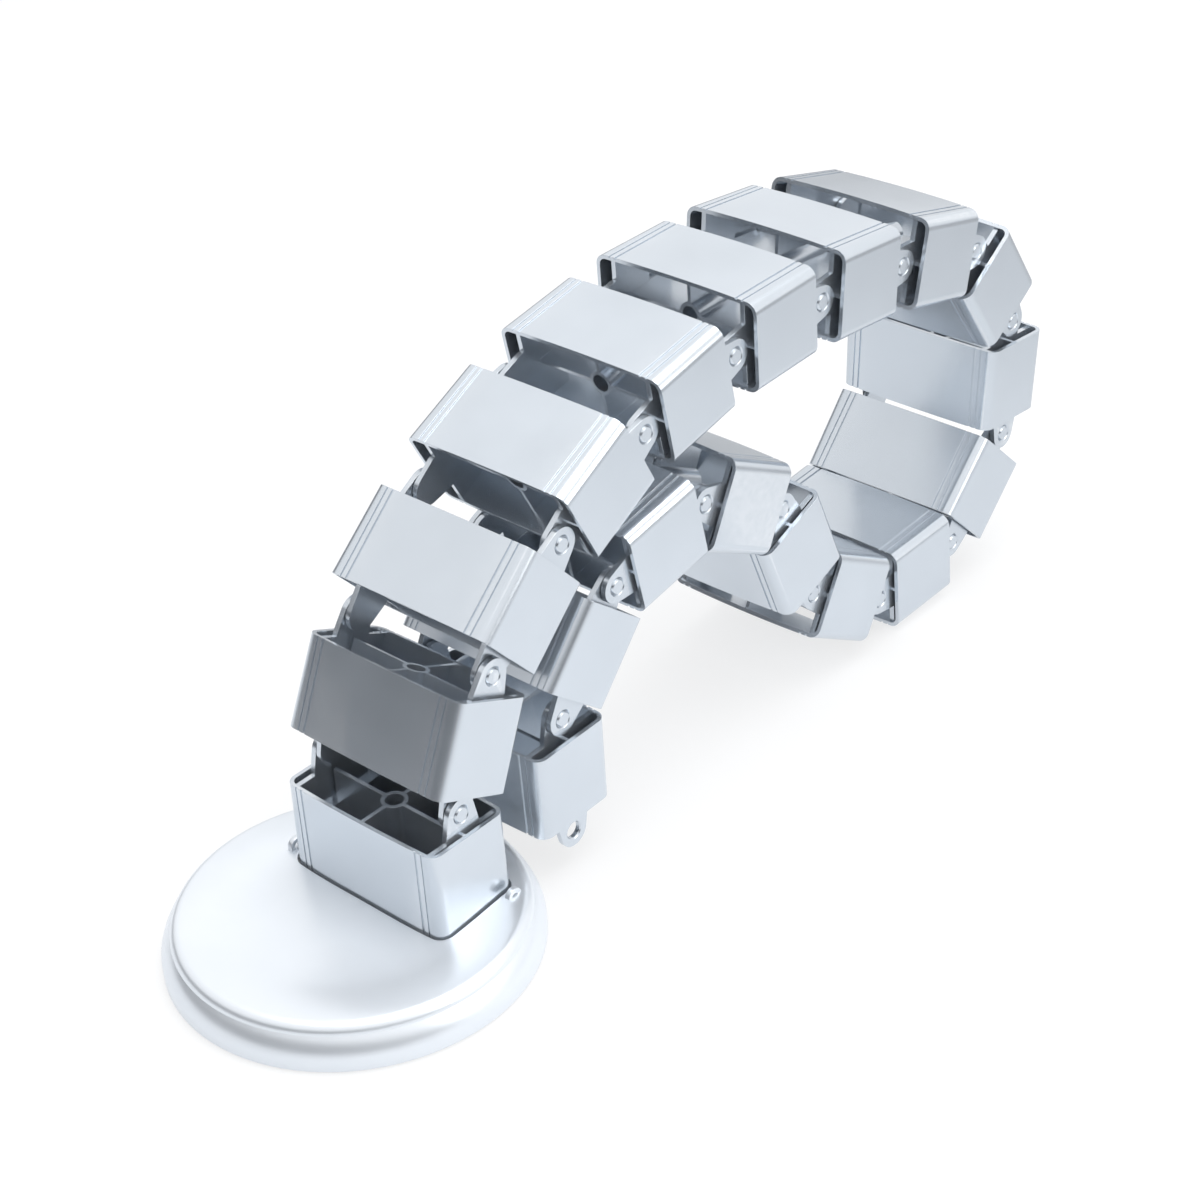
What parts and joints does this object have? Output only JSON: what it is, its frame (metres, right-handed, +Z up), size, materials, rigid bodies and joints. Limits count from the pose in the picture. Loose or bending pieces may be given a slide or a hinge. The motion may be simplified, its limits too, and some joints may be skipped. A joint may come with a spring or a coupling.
{
  "type": "cable spine",
  "caption": "Vertebra-type cable spine: hinged tube links with cable channels, arching out of a round weighted floor base.",
  "frame": {"origin": "centre of the base's underside, on the floor", "axes": "+Z up, +X across the links along every hinge axis, +Y the way the chain arches"},
  "size_m": [0.126, 0.408, 0.1723],
  "materials": {
    "links": "satin silver lacquer",
    "cover": "satin silver lacquer",
    "weight": "plain plate",
    "pad": "matt, finely grained",
    "insert": "turned",
    "fasteners": "zinc plated"
  },
  "bodies": {
    "base": {"base_pad": "pad", "base_weight": "weight", "base_cover": "cover", "foot_insert": "insert", "foot_bolt": "fasteners", "cover_screws": "fasteners", "vertebra_01": "links"},
    "vertebra_02": {"vertebra_02": "links"},
    "vertebra_03": {"vertebra_03": "links"},
    "vertebra_04": {"vertebra_04": "links"},
    "vertebra_05": {"vertebra_05": "links"},
    "vertebra_06": {"vertebra_06": "links"},
    "vertebra_07": {"vertebra_07": "links"},
    "vertebra_08": {"vertebra_08": "links"},
    "vertebra_09": {"vertebra_09": "links"},
    "vertebra_10": {"vertebra_10": "links"},
    "vertebra_11": {"vertebra_11": "links"},
    "vertebra_12": {"vertebra_12": "links"},
    "vertebra_13": {"vertebra_13": "links"},
    "vertebra_14": {"vertebra_14": "links"},
    "vertebra_15": {"vertebra_15": "links"},
    "vertebra_16": {"vertebra_16": "links"},
    "vertebra_17": {"vertebra_17": "links"},
    "vertebra_18": {"vertebra_18": "links"}
  },
  "joints": [
    {"name": "hinge_01", "type": "hinge", "parent": "base", "child": "vertebra_02", "pos_m": [0, 0.0235, 0.052], "axis": [-1, 0, 0], "range_deg": [-68, 5]},
    {"name": "hinge_02", "type": "hinge", "parent": "vertebra_02", "child": "vertebra_03", "pos_m": [0, 0.04278, 0.09431], "axis": [-1, 0, 0], "range_deg": [-67.5, 3.5]},
    {"name": "hinge_03", "type": "hinge", "parent": "vertebra_03", "child": "vertebra_04", "pos_m": [0, 0.07761, 0.12512], "axis": [1, 0, 0], "range_deg": [-3.5, 58.5]},
    {"name": "hinge_04", "type": "hinge", "parent": "vertebra_04", "child": "vertebra_05", "pos_m": [0, 0.11922, 0.14587], "axis": [1, 0, 0], "range_deg": [-2.5, 59.5]},
    {"name": "hinge_05", "type": "hinge", "parent": "vertebra_05", "child": "vertebra_06", "pos_m": [0, 0.16495, 0.15435], "axis": [-1, 0, 0], "range_deg": [-53, 1.5]},
    {"name": "hinge_06", "type": "hinge", "parent": "vertebra_06", "child": "vertebra_07", "pos_m": [0, 0.21144, 0.15516], "axis": [-1, 0, 0], "range_deg": [-50.5, 1]},
    {"name": "hinge_07", "type": "hinge", "parent": "vertebra_07", "child": "vertebra_08", "pos_m": [0, 0.25768, 0.1503], "axis": [1, 0, 0], "range_deg": [-1, 52]},
    {"name": "hinge_08", "type": "hinge", "parent": "vertebra_08", "child": "vertebra_09", "pos_m": [0, 0.3027, 0.13866], "axis": [1, 0, 0], "range_deg": [-0.5, 2]},
    {"name": "hinge_09", "type": "hinge", "parent": "vertebra_09", "child": "vertebra_10", "pos_m": [0, 0.32837, 0.09988], "axis": [-1, 0, 0], "range_deg": [-1, 0.5]},
    {"name": "hinge_10", "type": "hinge", "parent": "vertebra_10", "child": "vertebra_11", "pos_m": [0, 0.32432, 0.05356], "axis": [1, 0, 0], "range_deg": [-0.5, 1]},
    {"name": "hinge_11", "type": "hinge", "parent": "vertebra_11", "child": "vertebra_12", "pos_m": [0, 0.29172, 0.02039], "axis": [-1, 0, 0], "range_deg": [-1, 1]},
    {"name": "hinge_12", "type": "hinge", "parent": "vertebra_12", "child": "vertebra_13", "pos_m": [0, 0.24529, 0.01796], "axis": [1, 0, 0], "range_deg": [-2, 1.5]},
    {"name": "hinge_13", "type": "hinge", "parent": "vertebra_13", "child": "vertebra_14", "pos_m": [0, 0.20502, 0.04121], "axis": [-1, 0, 0], "range_deg": [-1.5, 2.5]},
    {"name": "hinge_14", "type": "hinge", "parent": "vertebra_14", "child": "vertebra_15", "pos_m": [0, 0.18835, 0.08462], "axis": [1, 0, 0], "range_deg": [-2.5, 2.5]},
    {"name": "hinge_15", "type": "hinge", "parent": "vertebra_15", "child": "vertebra_16", "pos_m": [0, 0.1473, 0.10645], "axis": [-1, 0, 0], "range_deg": [-4, 3]},
    {"name": "hinge_16", "type": "hinge", "parent": "vertebra_16", "child": "vertebra_17", "pos_m": [0, 0.10173, 0.09718], "axis": [1, 0, 0], "range_deg": [-6, 4.5]},
    {"name": "hinge_17", "type": "hinge", "parent": "vertebra_17", "child": "vertebra_18", "pos_m": [0, 0.07215, 0.0613], "axis": [-1, 0, 0], "range_deg": [-2.5, 8]}
  ]
}
